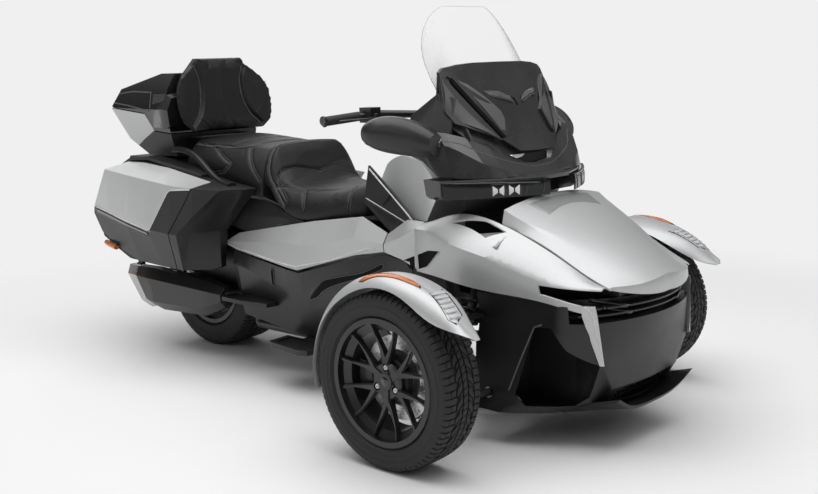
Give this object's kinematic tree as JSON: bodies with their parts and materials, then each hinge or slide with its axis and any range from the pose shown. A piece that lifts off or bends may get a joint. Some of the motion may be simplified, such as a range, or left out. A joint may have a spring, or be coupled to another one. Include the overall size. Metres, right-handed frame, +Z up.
{
  "type": "touring reverse trike",
  "caption": "Touring reverse trike with two steered wheels ahead and one belt-driven wheel behind, opening hood, side cases and top case.",
  "frame": {"origin": "on the ground midway between the axles, on the centre plane", "axes": "+X forward, +Y to the rider's left, +Z up"},
  "size_m": [2.8181, 1.5558, 1.432],
  "materials": {
    "silver_paint": "gloss metallic",
    "dark_plastic": "fine grain",
    "gloss_black": "gloss",
    "black_metal": "satin",
    "cast_aluminium": "cast",
    "brushed_steel": "brushed",
    "disc_steel": "turned",
    "seat_cover": "grained",
    "tyre": "matt",
    "grip_rubber": "matt",
    "clear_screen": "clear",
    "lamp_lens": "clear",
    "red_lens": "gloss"
  },
  "bodies": {
    "chassis": {"frame": "black_metal", "engine": "cast_aluminium", "swingarm": "black_metal", "wishbones": "black_metal", "front_shock_absorbers": "black_metal", "drive_belt": "grip_rubber", "rear_fender": "dark_plastic", "tail_fairing": "dark_plastic", "tail_lamp": "red_lens", "plate_holder": "dark_plastic", "front_trunk": "dark_plastic", "front_fascia": "dark_plastic", "splitter": "dark_plastic", "nose_side_panels": "silver_paint", "headlamp_housing": "gloss_black", "headlamp_lenses": "lamp_lens", "cowl": "gloss_black", "windscreen": "clear_screen", "mirrors": "gloss_black", "dash": "dark_plastic", "tank_cover": "silver_paint", "knee_panels": "dark_plastic", "side_panels": "silver_paint", "lower_side_covers": "dark_plastic", "footboards": "dark_plastic", "rider_seat": "seat_cover", "passenger_seat": "seat_cover", "grab_handles": "dark_plastic", "pannier_bodies": "dark_plastic", "top_case": "silver_paint", "silencer": "black_metal", "silencer_cap": "brushed_steel"},
    "hood": {"hood": "silver_paint"},
    "pannier_lid_left": {"pannier_lid_left": "silver_paint"},
    "pannier_lid_right": {"pannier_lid_right": "silver_paint"},
    "top_case_lid": {"top_case_lid": "gloss_black", "backrest": "seat_cover"},
    "handlebar": {"handlebar": "black_metal", "grips": "grip_rubber"},
    "steering_rack": {"steering_rack": "black_metal"},
    "rear_wheel": {"rear_rim": "black_metal", "rear_tyre": "tyre", "rear_brake_disc": "disc_steel", "rear_pulley": "black_metal"},
    "front_knuckle_left": {"front_knuckle_left": "cast_aluminium", "front_brake_caliper_left": "black_metal", "front_fender_left": "silver_paint"},
    "front_wheel_left": {"front_rim_left": "black_metal", "front_tyre_left": "tyre", "front_brake_disc_left": "disc_steel"},
    "front_knuckle_right": {"front_knuckle_right": "cast_aluminium", "front_brake_caliper_right": "black_metal", "front_fender_right": "silver_paint"},
    "front_wheel_right": {"front_rim_right": "black_metal", "front_tyre_right": "tyre", "front_brake_disc_right": "disc_steel"}
  },
  "joints": [
    {"name": "steering_turn", "type": "hinge", "parent": "chassis", "child": "handlebar", "pos_m": [0.43, 0, 0.985], "axis": [-0.1763, 0, 0.9843], "range_deg": [-25, 25]},
    {"name": "rack_slide", "type": "slide", "parent": "chassis", "child": "steering_rack", "axis": [0, -1, 0], "range_m": [-0.0413, 0.0413]},
    {"name": "front_steer_left", "type": "hinge", "parent": "chassis", "child": "front_knuckle_left", "pos_m": [0.866, 0.628, 0.15], "axis": [-0.0683, -0.1443, 0.9872], "range_deg": [-22.5, 22.5]},
    {"name": "front_wheel_left_spin", "type": "hinge", "parent": "front_knuckle_left", "child": "front_wheel_left", "pos_m": [0.857, 0.692, 0.281], "axis": [0, 1, 0], "continuous": true},
    {"name": "front_steer_right", "type": "hinge", "parent": "chassis", "child": "front_knuckle_right", "pos_m": [0.866, -0.628, 0.15], "axis": [-0.0683, 0.1443, 0.9872], "range_deg": [-22.5, 22.5]},
    {"name": "front_wheel_right_spin", "type": "hinge", "parent": "front_knuckle_right", "child": "front_wheel_right", "pos_m": [0.857, -0.692, 0.281], "axis": [0, 1, 0], "continuous": true},
    {"name": "rear_wheel_spin", "type": "hinge", "parent": "chassis", "child": "rear_wheel", "pos_m": [-0.857, 0, 0.303], "axis": [0, 1, 0], "continuous": true},
    {"name": "hood_hinge", "type": "hinge", "parent": "chassis", "child": "hood", "pos_m": [1.005, 0, 0.69], "axis": [0, -1, 0], "range_deg": [0, 55]},
    {"name": "top_case_lid_hinge", "type": "hinge", "parent": "chassis", "child": "top_case_lid", "pos_m": [-0.79, 0, 0.94], "axis": [0, 1, 0], "range_deg": [0, 50]},
    {"name": "pannier_lid_left_hinge", "type": "hinge", "parent": "chassis", "child": "pannier_lid_left", "pos_m": [-0.83, 0.389, 0.404], "axis": [-1, 0, 0], "range_deg": [0, 50]},
    {"name": "pannier_lid_right_hinge", "type": "hinge", "parent": "chassis", "child": "pannier_lid_right", "pos_m": [-0.83, -0.389, 0.404], "axis": [1, 0, 0], "range_deg": [0, 50]}
  ],
  "couplings": [
    {"joint": "front_steer_left", "follows": "steering_turn", "ratio": 0.9},
    {"joint": "front_steer_right", "follows": "steering_turn", "ratio": 0.9},
    {"joint": "rack_slide", "follows": "steering_turn", "m_per_rad": 0.0945}
  ]
}
